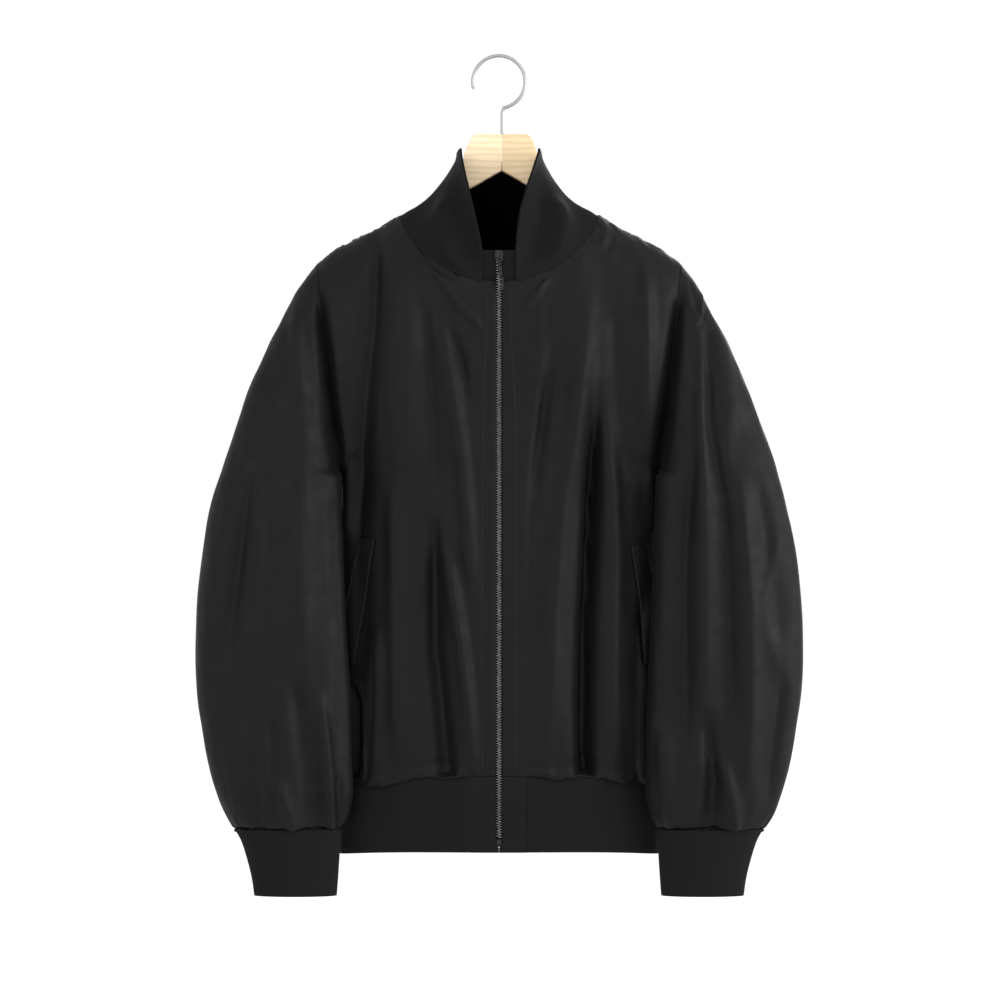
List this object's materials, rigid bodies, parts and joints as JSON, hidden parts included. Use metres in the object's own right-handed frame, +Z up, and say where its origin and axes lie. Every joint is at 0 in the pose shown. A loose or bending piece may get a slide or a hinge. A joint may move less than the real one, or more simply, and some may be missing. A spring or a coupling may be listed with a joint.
{
  "type": "track jacket on a hanger",
  "caption": "Zip-front track jacket with rib stand collar, cuffs and hem and slanted welt pockets, hung on a wooden hanger with a wire hook.",
  "frame": {"origin": "the point under the crown of the hanger's hook, where a rail carries it", "axes": "+Z up, the front faces -Y, +X is to the right as seen from the front"},
  "size_m": [0.638, 0.1261, 0.887],
  "materials": {
    "shell": "black satin-faced woven nylon",
    "rib": "black rib knit",
    "tape": "black woven zip tape",
    "zip_metal": "dark antique metal",
    "hook_steel": "bright plated steel wire",
    "wood": "pale wood with a thin clear coat"
  },
  "bodies": {
    "jacket": {"back": "shell", "collar": "rib", "cuff_left": "rib", "cuff_right": "rib", "front_left": "shell", "front_right": "shell", "hanger_arm_left": "wood", "hanger_arm_right": "wood", "hanger_hook": "hook_steel", "hem_rib": "rib", "hem_tab_left": "shell", "hem_tab_right": "shell", "pocket_welt_left": "shell", "pocket_welt_right": "shell", "sleeve_left": "shell", "sleeve_right": "shell", "zip_box": "zip_metal", "zip_chain": "zip_metal", "zip_slider": "zip_metal", "zip_tape_left": "tape", "zip_tape_right": "tape"},
    "pull": {"zip_pull": "zip_metal"}
  },
  "joints": [
    {"name": "zip_pull_swing", "type": "hinge", "parent": "jacket", "child": "pull", "pos_m": [0, -0.0621, -0.2135], "axis": [-1, 0, 0], "range_deg": [0, 150]}
  ]
}
